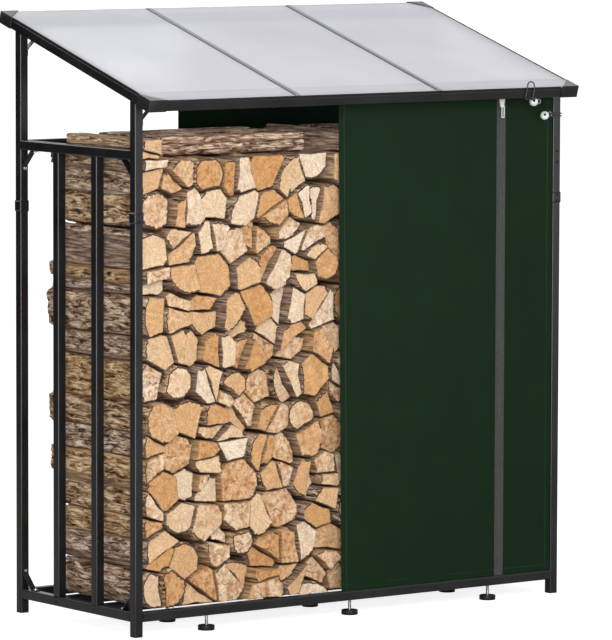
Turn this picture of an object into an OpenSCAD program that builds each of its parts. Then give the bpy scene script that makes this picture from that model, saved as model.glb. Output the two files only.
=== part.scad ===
// Lean-to log store: a welded and bolted frame of square steel tube under a sloping
// roof of translucent sheets, with fabric covers at the front and back, levelling feet
// under its base rails and a stack of split firewood inside.
// Millimetres, +Z up, X along the front, -Y towards the front, origin on the ground
// at the middle of the plan.

/* [Frame] */
// Width over the outer faces of the posts
frame_w = 1660; // [1400:10:2200]
// Depth over the outer faces of the posts
frame_d = 660; // [600:5:760]
// Side of the square steel tube
tube = 30; // [26:1:36]
// Outer corner radius of the tube
tube_r = 4; // [2:0.5:6]
// Height of the lower face of the base rails
base_z = 46; // [36:1:80]
// Drop of the upper face of the side and back rails below the eaves
side_rail_drop = 155; // [135:5:400]
// Number of upright bars in each side frame
side_bars = 2; // [1:1:4]
// Drop of the middle of the splice in each post below the eaves
splice_drop = 361; // [300:1:700]
// Height of the widened tube end at a splice
splice_h = 34; // [20:1:60]
// Amount by which the widened tube end stands proud of the post
splice_proud = 2; // [1:0.5:3]
// Thickness of the plug that closes the foot of a post
plug_t = 5; // [3:0.5:8]

/* [Braces] */
// Distance from the corner to the bend of a brace
brace_leg = 48; // [35:1:65]
// Length of the bolted tab at each end of a brace
brace_tab = 20; // [14:1:26]
// Width of the brace strip
brace_w = 20; // [14:1:22]
// Thickness of the brace strip
brace_t = 3; // [2:0.5:4]

/* [Feet] */
// Number of levelling feet under each long rail
feet_per_rail = 3; // [2:1:5]
// Diameter of a foot pad
pad_d = 52; // [40:1:60]
// Height of a foot pad
pad_h = 15; // [10:1:20]
// Width of the chamfer round the top of a pad
pad_chamfer = 3; // [1:0.5:4]
// Diameter of the foot screw
screw_d = 10; // [6:1:14]

/* [Roof] */
// Height of the top of the roof at its front edge
eaves_h = 1645; // [1300:5:1900]
// Slope of the roof in degrees
pitch = 16.7; // [10:0.1:22]
// Reach of the roof beyond the posts, at the front and at the back
overhang = 86; // [70:1:110]
// Thickness of a roof sheet
sheet_t = 6; // [4:0.5:10]
// Distance of the sheets' edges from the outside of the edge tubes
sheet_inset = 3; // [2:0.5:6]
// Number of roof sheets
sheets = 3; // [3:1:5]
// Width of the strip that covers a joint between two sheets
joint_w = 18; // [14:1:26]
// Width of the rib of a joint strip
joint_rib = 4; // [3:0.5:6]
// Length of the two sides of a corner cap
cap_leg = 66; // [50:1:80]
// Thickness of a corner cap
cap_t = 4; // [3.9:0.1:5]
// Thickness of the triangular top of a corner cap
cap_top = 2.5; // [2:0.5:4]

/* [Covers] */
// Thickness of the cover fabric
fabric_t = 1.6; // [1:0.1:3]
// Distance from the left post to the front cover at its top
front_open_top = 741; // [500:1:900]
// Distance from the left post to the front cover at its foot
front_open_foot = 759; // [500:1:900]
// Distance from the left post to the back cover
back_open = 596; // [400:1:800]
// Distance from the right post to the middle of the zip
zip_from_post = 213; // [150:1:300]
// Width of the zip tape
zip_w = 36; // [28:1:44]
// Thickness of the zip tape
zip_t = 1.4; // [1:0.1:2]
// Gap between the two cover pieces under the zip tape
zip_gap = 6; // [3:0.5:10]
// Distance of the zip slider below the top of the cover
slider_drop = 20; // [10:1:40]
// Height of the zip slider
slider_h = 24; // [18:1:30]
// Width of the zip slider
slider_w = 13; // [10:1:16]
// Thickness of the zip slider
slider_t = 7; // [5:0.5:10]
// Length of the zip pull
pull_h = 40; // [30:1:60]
// Width of the zip pull
pull_w = 9; // [7:0.5:12]
// Diameter of the hole in the zip pull
pull_hole = 4.5; // [3:0.5:5]
// Thickness of the zip pull
pull_t = 2.5; // [1.5:0.1:4]
// Diameter of a toggle ball
ball_d = 28; // [20:1:34]
// Diameter of the elastic cord of a toggle
elastic_d = 3.5; // [2:0.1:3.5]
// Drop of the toggle on the right post below the eaves
post_toggle_drop = 96; // [70:1:200]
// Distance from the right post to the eyelet of that toggle
post_toggle_x = 46; // [30:1:60]
// Distance from the right post to the toggle that hangs from the roof edge
roof_toggle_x = 124; // [90:1:180]
// Width of the elastic loop over the roof edge
roof_loop_w = 28; // [20:1:40]

/* [Firewood] */
// Length of the longest logs
log_len = 545; // [440:5:560]
// Largest difference between the lengths of the logs
log_len_spread = 92; // [0:1:120]
// Typical width of a log before it is split
log_pitch = 104; // [90:1:130]
// Drop of the top of the stacked courses below the eaves
stack_drop = 186; // [180:1:500]
// Height of the logs laid on top
top_h = 62; // [40:1:66]
// Length of the longest logs laid on top
top_len = 505; // [400:5:560]
// Distance of the foremost log ends behind the front of the posts
log_set_back = 9; // [8:0.5:20]
// Largest difference between the front ends of the logs
log_stagger = 46; // [0:1:60]
// Gap between a log and what it lies against
log_gap = 0.5; // [0.3:0.1:0.8]
// Share of the pieces that are split in two
split_share = 0.68; // [0:0.01:1]
// Share of the logs that stay round
round_share = 0.13; // [0:0.01:0.5]
// Starting number of the stacking pattern
stack_seed = 7; // [1:1:99]

/* [Hidden] */
$fn = 32;
fit = 0.3;
eps = 1;
far = 4000;

half_w = frame_w / 2;
half_d = frame_d / 2;
inner_w = half_w - tube;
post_y = half_d - tube / 2;
side_x = half_w - tube / 2;
base_top = base_z + tube;
bar_pitch = (frame_d - tube) / (side_bars + 1);
side_rail_top = eaves_h - side_rail_drop;
splice_z = eaves_h - splice_drop;

// Roof frame of reference: x across, v up the slope from the front edge, w square to it.
roof_t = tube + sheet_t + cap_top;
roof_y0 = -half_d - overhang;
roof_len = (frame_d + 2 * overhang - roof_t * sin(pitch)) / cos(pitch);
roof_half = half_w + cap_t;
sheet_w0 = -cap_top - sheet_t;
sheet_l = -half_w + sheet_inset;
sheet_pitch = -2 * sheet_l / sheets;
sheet_v0 = cap_t + sheet_inset;
sheet_v1 = roof_len - cap_t - sheet_inset;

function roof_z(y, w) = eaves_h + (y - roof_y0) * tan(pitch) + w / cos(pitch);
function purlin_z(side) = roof_z(side * post_y - tube / 2, sheet_w0) - fit - tube;

cover_y = -post_y - brace_w / 2 - fit - fabric_t;
cover_foot = base_top + fit;
front_cover_top = purlin_z(-1) - fit;
back_cover_top = purlin_z(1) + tube;
zip_x = inner_w - zip_from_post;
slider_z = front_cover_top - slider_drop - slider_h;
pull_at = 0.6;
post_toggle_z = eaves_h - post_toggle_drop;
eyelet_x = inner_w - post_toggle_x;
roof_toggle = inner_w - roof_toggle_x;
post_ball_y = cover_y - ball_d / 2 - fit;
ball_w = -roof_t - ball_d / 2 - elastic_d;
ball_v = cap_t + tube / 2;
ball_y = roof_y0 + ball_v * cos(pitch) - ball_w * sin(pitch);
ball_z = eaves_h + ball_v * sin(pitch) + ball_w * cos(pitch);

// Firewood grids: [left, right, low, high, columns, rows, first number].
stack_top = eaves_h - stack_drop;
stack_l = -inner_w + splice_proud + log_gap;
stack_r = inner_w - splice_proud - log_gap;
log_front = -half_d + log_set_back;
stack_rows = max(1, round((stack_top - base_top) / log_pitch));
stack_grid = [stack_l, stack_r, base_top + fit, stack_top,
    max(1, round((stack_r - stack_l) / log_pitch)), stack_rows, 0];
// Width to height of the logs on top and of those laid across, and the share of two columns
// that stands at each end.
top_aspect = 1.55;
cross_aspect = 1.5;
top_end_share = 1.5;
top_low = stack_top + log_gap;
top_grid = [stack_l, stack_r, top_low, top_low + top_h,
    max(1, round((stack_r - stack_l) / (top_h * top_aspect))), 1, 300];
cross_set_back = 50;
cross_front = log_front + log_stagger + cross_set_back;
cross_back = log_front + log_len - log_len_spread;
cross_grid = [cross_front, cross_back, top_low, top_low + top_h,
    max(1, round((cross_back - cross_front) / (top_h * cross_aspect))), 1, 500];
// Two bays of logs laid across, each beside the logs at one end of the stack.
top_end_w = (stack_r - stack_l) / top_grid[4] * top_end_share;
bay_0 = [stack_l + top_end_w, stack_l + top_end_w + log_len];
bay_1 = [stack_r - top_end_w - log_len, stack_r - top_end_w];
stack_nodes = 8;
noise_n = 997;
noise = rands(0, 1, noise_n, stack_seed);
seed_jitter = 0.27;
row_shift = 0.4;
lightest = 0.25 * log_pitch;
heaviest = 0.44 * log_pitch;
bark_sides = 24;
bark_depth = [0.74, 0.96];
trunk_r = [0.58 * log_pitch, 1.01 * log_pitch];
round_fill = 1.44;
stout = 0.44 * log_pitch;
end_split = [60, 120];
split_off = 0.3;

module steel() { color([0.16, 0.17, 0.18]) children(); }
module plastic() { color([0.30, 0.31, 0.33]) children(); }
module fabric() { color([0.11, 0.18, 0.12]) children(); }
module wood() { color([0.80, 0.64, 0.42]) children(); }

// Section of the tube: a square with round corners.
module tube_section(side = tube) {
    core = side - 2 * tube_r;
    square([side, core], center = true);
    square([core, side], center = true);
    for (sx = [-1, 1], sy = [-1, 1])
        translate([sx * core / 2, sy * core / 2]) circle(tube_r);
}

// Tubes along each axis, from one end to the other, about a centre line.
module tube_z(x, y, z0, z1) {
    translate([x, y, z0]) linear_extrude(z1 - z0) tube_section();
}

module tube_x(x0, x1, y, z) {
    translate([x0, y, z]) rotate([90, 0, 90]) linear_extrude(x1 - x0) tube_section();
}

module tube_y(x, y0, y1, z) {
    translate([x, y1, z]) rotate([90, 0, 0]) linear_extrude(y1 - y0) tube_section();
}

module on_roof() {
    translate([0, roof_y0, eaves_h]) rotate([pitch, 0, 0]) children();
}

// Splice: the end of the lower tube is widened to take the upper one, with a slope at both ends.
module splice() {
    wide = tube + 2 * splice_proud;
    rise = min(2 * splice_proud, splice_h / 3);
    top = splice_h / 2;
    side = [[-tube / 2, -top], [tube / 2, -top], [wide / 2, rise - top], [wide / 2, top - rise],
        [tube / 2, top], [-tube / 2, top], [-wide / 2, top - rise], [-wide / 2, rise - top]];
    intersection() {
        translate([0, 0, -top]) linear_extrude(splice_h) tube_section(wide);
        rotate([90, 0, 0]) linear_extrude(wide, center = true) polygon(side);
        rotate([90, 0, 90]) linear_extrude(wide, center = true) polygon(side);
    }
}

// Post: a tube cut off along the slope under its rafter, with a splice near its top.
module post(sx, sy) {
    steel() difference() {
        union() {
            tube_z(sx * side_x, sy * post_y, plug_t, roof_z(sy * post_y + tube, 0));
            translate([sx * side_x, sy * post_y, splice_z]) splice();
        }
        on_roof() translate([-far / 2, -far / 2, -roof_t]) cube([far, far, far]);
    }
}

module post_plugs() {
    plastic() for (sx = [-1, 1], sy = [-1, 1])
        tube_z(sx * side_x, sy * post_y, 0, plug_t);
}

// Base: two long rails between the posts, two sills and the rails that carry the logs.
module base_rail(y) {
    steel() tube_x(-inner_w, inner_w, y, base_z + tube / 2);
}

module base_rails_middle() {
    for (i = [1:side_bars]) base_rail(-post_y + i * bar_pitch);
}

module side_tube(sx, z) {
    steel() tube_y(sx * side_x, -half_d + tube, half_d - tube, z);
}

module at_feet() {
    foot_pitch = 2 * half_w / feet_per_rail;
    for (i = [0:side_bars + 1], k = [0:feet_per_rail - 1])
        translate([-half_w + (k + 0.5) * foot_pitch, -post_y + i * bar_pitch, 0]) children();
}

// Foot pad: a disc with a chamfered top edge, turned as one profile.
module foot_pads() {
    plastic() at_feet() rotate_extrude()
        polygon([[0, 0], [pad_d / 2, 0], [pad_d / 2, pad_h - pad_chamfer],
            [pad_d / 2 - pad_chamfer, pad_h], [0, pad_h]]);
}

module foot_screws() {
    color([0.75, 0.76, 0.77]) at_feet() translate([0, 0, pad_h])
        cylinder(d = screw_d, h = base_z - pad_h);
}

module back_rail() {
    steel() tube_x(-inner_w, inner_w, post_y, side_rail_top - tube / 2);
}

module side_bars(sx) {
    steel() for (i = [1:side_bars])
        tube_z(sx * side_x, -post_y + i * bar_pitch, base_top, side_rail_top - tube);
}

// Brace: a strip bent twice, with a tab along each of the tubes that meet at a corner.
// The corner is at the origin and the tabs lie along +x and +y.
module brace_strip() {
    bend = brace_leg + brace_t * (sqrt(2) - 1);
    reach = brace_leg + brace_tab;
    translate([0, 0, -brace_w / 2]) linear_extrude(brace_w)
        polygon([[0, reach], [0, brace_leg], [brace_leg, 0], [reach, 0], [reach, brace_t],
            [bend, brace_t], [brace_t, bend], [brace_t, reach]]);
}

module side_braces(sx) {
    steel() for (sy = [-1, 1]) {
        translate([sx * side_x, sy * (half_d - tube), base_top])
            rotate([90, 0, -sy * 90]) brace_strip();
        translate([sx * side_x, sy * (half_d - tube), side_rail_top - tube])
            mirror([0, 0, 1]) rotate([90, 0, -sy * 90]) brace_strip();
    }
}

module purlin_braces(sy) {
    steel() for (sx = [-1, 1])
        translate([sx * inner_w, sy * post_y, purlin_z(sy)])
            mirror([0, 0, 1]) mirror([sx > 0 ? 1 : 0, 0, 0]) rotate([90, 0, 0]) brace_strip();
}

// Roof frame: rafters over the posts, a beam at each edge and a purlin between the posts.
module rafter(sx) {
    steel() on_roof() tube_y(sx * side_x, cap_t, roof_len - cap_t, tube / 2 - roof_t);
}

module edge_beam(v) {
    steel() on_roof() tube_x(-inner_w, inner_w, v, tube / 2 - roof_t);
}

module purlin(sy) {
    steel() tube_x(-inner_w, inner_w, sy * post_y, purlin_z(sy) + tube / 2);
}

// Roof sheets lie on the roof frame, with a ribbed strip over each joint.
module roof_sheet(i) {
    x0 = sheet_l + i * sheet_pitch + (i > 0 ? joint_rib / 2 + fit : 0);
    x1 = sheet_l + (i + 1) * sheet_pitch - (i < sheets - 1 ? joint_rib / 2 + fit : 0);
    color([0.83, 0.84, 0.87, 0.8]) on_roof()
        translate([x0, sheet_v0, sheet_w0]) cube([x1 - x0, sheet_v1 - sheet_v0, sheet_t]);
}

module roof_joints() {
    color([0.55, 0.56, 0.57]) on_roof() for (i = [1:sheets - 1])
        translate([sheet_l + i * sheet_pitch, sheet_v1, sheet_w0]) rotate([90, 0, 0])
            linear_extrude(sheet_v1 - sheet_v0) {
                translate([-joint_rib / 2, 0]) square([joint_rib, sheet_t + cap_top]);
                translate([-joint_w / 2, sheet_t]) square([joint_w, cap_top]);
            }
}

// Corner cap: a triangular top with a skirt down the two outer faces.
module corner_cap() {
    translate([0, 0, -cap_top]) linear_extrude(cap_top)
        polygon([[0, 0], [cap_leg, 0], [0, cap_leg]]);
    translate([0, 0, -roof_t]) linear_extrude(roof_t) union() {
        square([cap_leg, cap_t]);
        square([cap_t, cap_leg]);
    }
}

module roof_corner_caps() {
    plastic() on_roof() for (sx = [0, 1], sv = [0, 1])
        translate([sx > 0 ? roof_half : -roof_half, sv > 0 ? roof_len : 0, 0])
            mirror([sx, 0, 0]) mirror([0, sv, 0]) corner_cap();
}

// Covers: the front one is a wide piece and an edge piece, joined by the zip.
module front_cover() {
    right = zip_x - zip_gap / 2;
    fabric() translate([0, cover_y + fabric_t, 0]) rotate([90, 0, 0]) linear_extrude(fabric_t)
        polygon([[-inner_w + front_open_foot, cover_foot], [right, cover_foot],
            [right, front_cover_top], [-inner_w + front_open_top, front_cover_top]]);
}

module front_cover_edge() {
    left = zip_x + zip_gap / 2;
    fabric() translate([0, cover_y + fabric_t, 0]) rotate([90, 0, 0]) linear_extrude(fabric_t)
        difference() {
            translate([left, cover_foot])
                square([inner_w - splice_proud - fit - left, front_cover_top - cover_foot]);
            translate([eyelet_x, post_toggle_z]) circle(elastic_d);
        }
}

module zip_tape() {
    color([0.29, 0.29, 0.30]) translate([zip_x - zip_w / 2, cover_y - zip_t, cover_foot])
        cube([zip_w, zip_t, front_cover_top - cover_foot]);
}

module zip_slider() {
    color([0.78, 0.79, 0.80]) translate([zip_x, cover_y - zip_t, slider_z])
        rotate([90, 0, 0]) linear_extrude(slider_t) {
            translate([-slider_w / 2, slider_w / 2])
                square([slider_w, slider_h - slider_w / 2]);
            translate([0, slider_w / 2]) circle(d = slider_w);
        }
}

module zip_pull() {
    color([0.82, 0.83, 0.84])
        translate([zip_x, cover_y - zip_t - slider_t, slider_z + slider_h * pull_at])
        rotate([90, 0, 0]) linear_extrude(pull_t) difference() {
            union() {
                translate([-pull_w / 2, -pull_h + pull_w / 2]) square([pull_w, pull_h - pull_w / 2]);
                translate([0, -pull_h + pull_w / 2]) circle(d = pull_w);
            }
            translate([0, -pull_h + pull_w / 2]) circle(d = pull_hole);
        }
}

module back_cover() {
    left = -inner_w + back_open;
    fabric() translate([left, half_d + splice_proud, base_top])
        cube([half_w - left, fabric_t, back_cover_top - base_top]);
}

// Toggles: a ball on an elastic loop, one round the right post and one over the roof edge.
module post_ball() {
    translate([eyelet_x, post_ball_y, post_toggle_z]) sphere(d = ball_d);
}

module roof_ball() {
    translate([roof_toggle, ball_y, ball_z]) sphere(d = ball_d);
}

module toggle_balls() {
    color([0.88, 0.93, 0.90]) {
        post_ball();
        roof_ball();
    }
}

module post_elastic() {
    d = elastic_d;
    left = eyelet_x - d / 2;
    color([0.12, 0.12, 0.13]) difference() {
        translate([0, 0, post_toggle_z - d / 2]) linear_extrude(d) difference() {
            translate([left, -half_d - fit - d])
                square([half_w + fit + d - left, tube + 2 * fit + 2 * d]);
            translate([left + d, -half_d - fit])
                square([half_w + fit - left - d, tube + 2 * fit]);
        }
        translate([eyelet_x, post_ball_y, post_toggle_z]) sphere(d = ball_d + 2 * fit);
    }
}

// The roof loop hooks over the sheets' edge, runs down the eaves beam and meets its ball.
module roof_elastic() {
    d = elastic_d;
    mid = roof_loop_w / 2;
    color([0.12, 0.12, 0.13]) difference() {
        on_roof() translate([roof_toggle, 0, 0]) {
            translate([0, cap_t, -cap_top + fit]) linear_extrude(d) intersection() {
                difference() {
                    circle(mid + d / 2);
                    circle(mid - d / 2);
                }
                translate([-far / 2, -fit - d]) square([far, far]);
            }
            for (s = [-1, 1])
                translate([s * mid - d / 2, cap_t - fit - d, -roof_t - fit - d])
                    cube([d, d, roof_t - cap_top + 2 * fit + 2 * d]);
            translate([-mid - d / 2, cap_t - fit - d, -roof_t - fit - d])
                cube([roof_loop_w + d, ball_v - cap_t + fit + 1.5 * d, d]);
        }
        translate([roof_toggle, ball_y, ball_z]) sphere(d = ball_d + 2 * fit);
    }
}

// Firewood outlines. A grid of shifted seeds divides the stack into convex cells, whose
// borders lie nearer to the lighter seed. Most cells are split by a line near their seed,
// and each piece keeps a stretch of the trunk's round as its bark side. A few stay round.
function noise_at(g, r, c, k) = noise[(g[6] + (r + 3) * 61 + (c + 3) * 7 + k * 131) % noise_n];
function between(low, high, share) = low + (high - low) * share;
function cell_w(g) = (g[1] - g[0]) / g[4];
function cell_h(g) = (g[3] - g[2]) / g[5];
function seed(g, r, c) = [
    g[0] + cell_w(g) * (c + 0.5 + (g[5] > 1 ? (r % 2 - 0.5) * row_shift : 0)
        + between(-seed_jitter, seed_jitter, noise_at(g, r, c, 0))),
    g[2] + cell_h(g) * (r + 0.5 + between(-seed_jitter, seed_jitter, noise_at(g, r, c, 1)))];
function weight(g, r, c) = pow(between(lightest, heaviest, noise_at(g, r, c, 2)), 2);

// A border is [normal, reach]: the cell lies where normal * point is at most reach.
function border(g, r, c, r2, c2) =
    let (a = seed(g, r, c), b = seed(g, r2, c2), d = norm(b - a), n = (b - a) / d)
    [n, n * a + d / 2 + (weight(g, r, c) - weight(g, r2, c2)) / (2 * d) - log_gap / 2];
function borders(g, r, c) = [
    for (r2 = [max(0, r - 2):min(g[5] - 1, r + 2)], c2 = [max(0, c - 2):min(g[4] - 1, c + 2)])
        if (r2 != r || c2 != c) border(g, r, c, r2, c2)];
function walls(g) = [[[-1, 0], -g[0]], [[1, 0], g[1]], [[0, -1], -g[2]], [[0, 1], g[3]]];
function round_of(p, radius) = [
    for (i = [0:bark_sides - 1])
        let (a = 360 * (i + 0.5) / bark_sides, n = [cos(a), sin(a)]) [n, n * p + radius]];
function clip(poly, b) = [
    for (i = [0:len(poly) - 1])
        let (p = poly[i], q = poly[(i + 1) % len(poly)], dp = b[0] * p - b[1], dq = b[0] * q - b[1])
        each concat(dp <= 0 ? [p] : [], dp * dq < 0 ? [p + (q - p) * dp / (dp - dq)] : [])];
function clip_all(poly, bs, i = 0) =
    i >= len(bs) || len(poly) < 3 ? poly : clip_all(clip(poly, bs[i]), bs, i + 1);
function block(g) = [[g[0], g[2]], [g[1], g[2]], [g[1], g[3]], [g[0], g[3]]];
function middle(poly) = [for (p = poly) 1] * poly / len(poly);

// Cuts the bark side of a piece to the round of its trunk, on the side at angle turn.
function barked(poly, turn, depth, trunk) =
    let (
        d = [cos(turn), sin(turn)],
        m = middle(poly),
        reach = max([for (p = poly) p * d]) - m * d)
    clip_all(poly, round_of(m + d * (reach * depth - trunk), trunk));

// The one or two outlines of the wood at a place in the grid. The logs at the ends of the
// stack turn their bark outwards.
function log_outlines(g, r, c) =
    let (
        p = seed(g, r, c),
        edges = concat(borders(g, r, c), walls(g)),
        cell = clip_all(block(g), edges),
        inner = min([for (e = edges) e[1] - e[0] * p]),
        is_end = c == 0 || c == g[4] - 1,
        is_round = noise_at(g, r, c, 3) < round_share,
        is_split = !is_round && (inner > stout || noise_at(g, r, c, 4) < split_share),
        a = is_end ? between(end_split[0], end_split[1], noise_at(g, r, c, 5)) : 180 * noise_at(g, r, c, 5),
        n = [cos(a), sin(a)],
        at = n * p + between(-split_off, split_off, noise_at(g, r, c, 6)) * inner,
        pieces = is_split
            ? [clip(cell, [n, at - log_gap / 2]), clip(cell, [-n, -at - log_gap / 2])]
            : [cell])
    is_round
        ? [clip_all(cell, round_of(p, inner * round_fill))]
        : [for (k = [0:len(pieces) - 1])
            barked(pieces[k], is_end ? (c == 0 ? 180 : 0) : 360 * noise_at(g, r, c, 7 + k),
                between(bark_depth[0], bark_depth[1], noise_at(g, r, c, 9 + k)),
                between(trunk_r[0], trunk_r[1], noise_at(g, r, c, 11 + k)))];

// A log lies along Y. Each end is set back by its own share of the stagger, at the front
// mostly by a little.
module logs_along(g, r, c, longest) {
    outlines = log_outlines(g, r, c);
    for (k = [0:len(outlines) - 1]) {
        front = log_front + log_stagger * pow(noise_at(g, r, c, 13 + k), 2);
        back = log_front + longest - log_len_spread * noise_at(g, r, c, 15 + k);
        translate([0, back, 0]) rotate([90, 0, 0]) linear_extrude(back - front)
            polygon(outlines[k]);
    }
}

module firewood(i) {
    wood() for (r = [0:stack_rows - 1])
        if (floor(r * stack_nodes / stack_rows) == i)
            for (c = [0:stack_grid[4] - 1]) logs_along(stack_grid, r, c, log_len);
}

// Logs on top: bays of logs laid across, with ordinary logs between them and at the ends.
function in_bay(x, margin) =
    (x > bay_0[0] - margin && x < bay_0[1] + margin) || (x > bay_1[0] - margin && x < bay_1[1] + margin);
function reach_x(poly) = [min([for (p = poly) p[0]]), max([for (p = poly) p[0]])];
function clear_of_bays(outlines) =
    len([for (o = outlines) let (e = reach_x(o)) if (in_bay(e[0], 0) || in_bay(e[1], 0)) 1]) == 0;

module firewood_top() {
    wood() for (c = [0:top_grid[4] - 1])
        if (clear_of_bays(log_outlines(top_grid, 0, c))) logs_along(top_grid, 0, c, top_len);
}

module firewood_cross() {
    wood() for (bay = [bay_0, bay_1], c = [0:cross_grid[4] - 1]) {
        outlines = log_outlines(cross_grid, 0, c);
        for (o = outlines)
            translate([bay[0] + log_gap, 0, 0]) rotate([90, 0, 90])
                linear_extrude(bay[1] - bay[0] - 2 * log_gap) polygon(o);
    }
}

post(-1, -1);  // post_front_left
post(1, -1);  // post_front_right
post(-1, 1);  // post_back_left
post(1, 1);  // post_back_right
post_plugs();
base_rail(-post_y);  // base_rail_front
base_rail(post_y);  // base_rail_back
base_rails_middle();
side_tube(-1, base_z + tube / 2);  // sill_left
side_tube(1, base_z + tube / 2);  // sill_right
foot_pads();
foot_screws();
side_tube(-1, side_rail_top - tube / 2);  // side_rail_left
side_tube(1, side_rail_top - tube / 2);  // side_rail_right
back_rail();
side_bars(-1);  // side_bars_left
side_bars(1);  // side_bars_right
side_braces(-1);  // braces_left
side_braces(1);  // braces_right
purlin_braces(-1);  // braces_front
purlin_braces(1);  // braces_back
rafter(-1);  // rafter_left
rafter(1);  // rafter_right
edge_beam(cap_t + tube / 2);  // eaves_beam
edge_beam(roof_len - cap_t - tube / 2);  // ridge_beam
purlin(-1);  // purlin_front
purlin(1);  // purlin_back
roof_sheet(0);  // roof_sheet_1
roof_sheet(1);  // roof_sheet_2
for (i = [2:sheets - 1]) roof_sheet(i);  // roof_sheet_3
roof_joints();
roof_corner_caps();
front_cover();
front_cover_edge();
zip_tape();
zip_slider();
zip_pull();
back_cover();
toggle_balls();
post_elastic();
roof_elastic();
firewood(0);  // firewood_1
firewood(1);  // firewood_2
firewood(2);  // firewood_3
firewood(3);  // firewood_4
firewood(4);  // firewood_5
firewood(5);  // firewood_6
firewood(6);  // firewood_7
firewood(7);  // firewood_8
firewood_top();
firewood_cross();
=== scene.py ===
import itertools
import math

import bpy
import numpy as np
from mathutils import Matrix, Vector
from mathutils.kdtree import KDTree


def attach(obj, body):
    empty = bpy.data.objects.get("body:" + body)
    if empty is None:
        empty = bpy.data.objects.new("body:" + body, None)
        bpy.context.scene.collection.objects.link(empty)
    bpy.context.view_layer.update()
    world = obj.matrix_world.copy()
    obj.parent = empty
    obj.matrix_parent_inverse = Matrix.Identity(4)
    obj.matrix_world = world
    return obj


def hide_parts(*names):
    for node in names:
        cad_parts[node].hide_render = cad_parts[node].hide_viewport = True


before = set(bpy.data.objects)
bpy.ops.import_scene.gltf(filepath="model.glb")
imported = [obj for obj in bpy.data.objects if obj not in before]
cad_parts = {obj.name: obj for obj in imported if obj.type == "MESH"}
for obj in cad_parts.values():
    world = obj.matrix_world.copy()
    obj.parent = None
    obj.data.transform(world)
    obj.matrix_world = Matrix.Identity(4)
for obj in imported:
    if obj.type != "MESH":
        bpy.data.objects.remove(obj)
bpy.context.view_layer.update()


# Camera. It stands to the left of the front at about eye height, far off with a long lens,
# so that the uprights stay nearly parallel. Its place and lens were fitted to the corners of
# the posts, the roof and the feet.
def linked(name, data):
    """A new object with this data, in the scene."""
    made = bpy.data.objects.new(name, data)
    bpy.context.scene.collection.objects.link(made)
    return made


CAMERA_PLACE = (-9.9139, -13.4883, 2.4806)
CAMERA_YAW, CAMERA_DROP, CAMERA_ROLL = (math.radians(a) for a in (36.478, 5.375, 0.172))
camera = linked("camera", bpy.data.cameras.new("camera"))
camera.data.lens = 297.53
camera.data.sensor_width = 36
camera.data.clip_end = 200
camera.matrix_world = (
    Matrix.Translation(CAMERA_PLACE)
    @ Matrix.Rotation(-CAMERA_YAW, 4, "Z")
    @ Matrix.Rotation(math.pi / 2 - CAMERA_DROP, 4, "X")
    @ Matrix.Rotation(CAMERA_ROLL, 4, "Z")
)
bpy.context.scene.camera = camera


# Frame: posts, rails, sills, bars, rafters, beams and purlins of welded square steel tube,
# bolted together. The solids have the tube's own round corners, so they only get their finish,
# a black powder coat.
def linear(code):
    """A colour written as sRGB hex, as the linear values that a socket takes."""
    parts = [int(code[i:i + 2], 16) / 255 for i in (1, 3, 5)]
    return tuple(c / 12.92 if c <= 0.04045 else ((c + 0.055) / 1.055) ** 2.4 for c in parts) + (1,)


def result(source):
    """The socket on which a node gives its result. A socket stays itself."""
    if isinstance(source, bpy.types.NodeSocket):
        return source
    return next(socket for socket in source.outputs if socket.enabled)


def add(tree, kind, sockets=None, stops=None, **settings):
    """Adds a node with its settings, its colour stops, and its values and links by socket. A node
    given as a value is linked by its result."""
    made = tree.nodes.new("ShaderNode" + kind)
    for name, value in settings.items():
        setattr(made, name, value)
    if stops:
        ramp = made.color_ramp.elements
        while len(ramp) < len(stops):
            ramp.new(0.5)
        for element, (place, code) in zip(ramp, stops):
            element.position = place
            element.color = linear(code)
    for key, value in (sockets or {}).items():
        if isinstance(value, (bpy.types.Node, bpy.types.NodeSocket)):
            tree.links.new(result(value), made.inputs[key])
        else:
            made.inputs[key].default_value = value
    return made


def finish(name, **constants):
    """A new material with its constant values set on the shader, its node tree and the shader."""
    made = bpy.data.materials.new(name)
    made.use_nodes = True
    shader = made.node_tree.nodes["Principled BSDF"]
    for key, value in constants.items():
        shader.inputs[key.replace("_", " ")].default_value = value
    return made, made.node_tree, shader


def wire(shader, **links):
    """Links nodes to the shader's sockets, by their names."""
    for key, source in links.items():
        shader.id_data.links.new(result(source), shader.inputs[key.replace("_", " ")])


# Black powder coat on steel: half gloss, with a fine orange peel that breaks the reflections
# and a little pale dust. The peel of about 1 mm is drawn 4 mm wide, so that it shows.
powder_coat, tree, shader = finish("powder_coat_black", Specular_IOR_Level=0.26)
place = add(tree, "TexCoord").outputs["Object"]
dust = add(tree, "TexNoise", {"Vector": place, "Scale": 1 / 0.12, "Detail": 5.0})
tone = add(tree, "ValToRGB", {"Fac": dust},
           stops=[(0.3, "#101012"), (0.62, "#151618"), (0.85, "#1d1e20")])
peel = add(tree, "TexNoise", {"Vector": place, "Scale": 1 / 0.004, "Detail": 2.0})
bump = add(tree, "Bump", {"Height": peel, "Strength": 0.08, "Distance": 0.0006})
gloss = add(tree, "MapRange", {"Value": dust, 1: 0.3, 2: 0.8, 3: 0.26, 4: 0.4})
wire(shader, Base_Color=tone, Roughness=gloss, Normal=bump)
STEEL_NODES = [
    "post_front_left", "post_front_right", "post_back_left", "post_back_right",
    "base_rail_front", "base_rail_back", "base_rails_middle", "sill_left", "sill_right",
    "side_rail_left", "side_rail_right", "back_rail", "side_bars_left", "side_bars_right",
    "braces_left", "braces_right", "braces_front", "braces_back",
    "rafter_left", "rafter_right", "eaves_beam", "ridge_beam", "purlin_front", "purlin_back",
]


def give(piece, *materials):
    """Puts these materials on a piece, in the order of its slots."""
    piece.data.materials.clear()
    for material in materials:
        piece.data.materials.append(material)


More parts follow.
